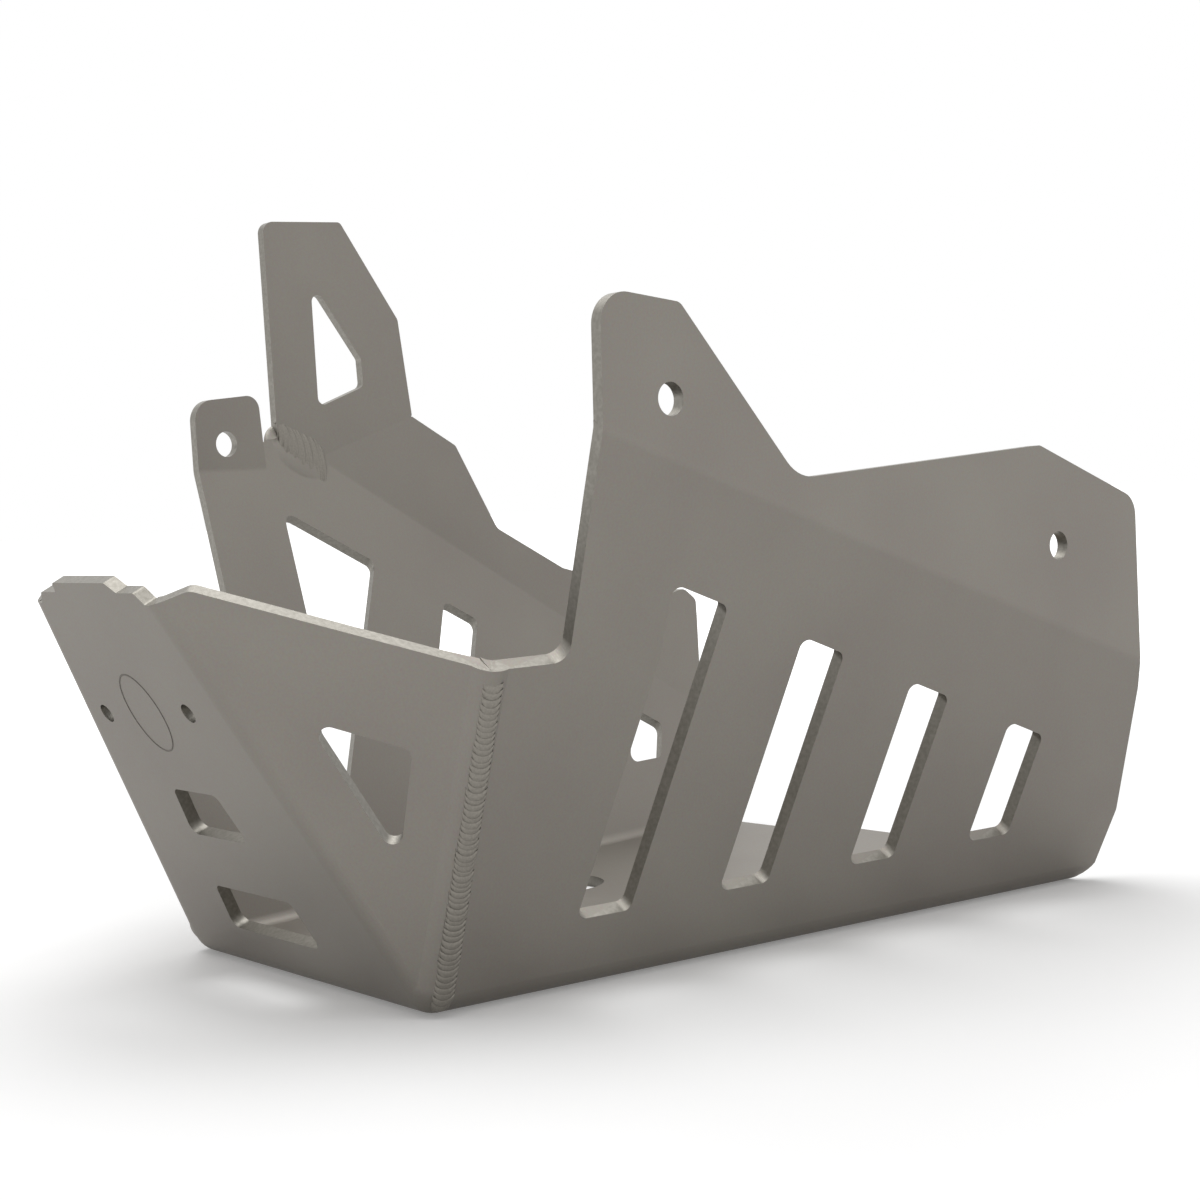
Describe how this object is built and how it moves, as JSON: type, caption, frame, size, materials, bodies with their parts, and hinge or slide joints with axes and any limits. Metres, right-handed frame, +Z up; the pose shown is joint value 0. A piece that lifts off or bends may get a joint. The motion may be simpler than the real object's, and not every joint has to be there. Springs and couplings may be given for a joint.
{
  "type": "motorcycle skid plate",
  "caption": "Folded and welded aluminium engine guard: a slotted trough with a raked front plate, cut-away side walls and bolt ears.",
  "frame": {"origin": "in the plane of the floor's underside, on the middle line, 150 mm behind the front plate's bottom fold", "axes": "+Z up, -Y towards the front of the motorcycle, +X towards the side with the long upright wall"},
  "size_m": [0.285, 0.3859, 0.2865],
  "materials": {
    "bare_aluminium": "satin"
  },
  "bodies": {
    "root": {"skid_plate": "bare_aluminium"}
  },
  "joints": []
}
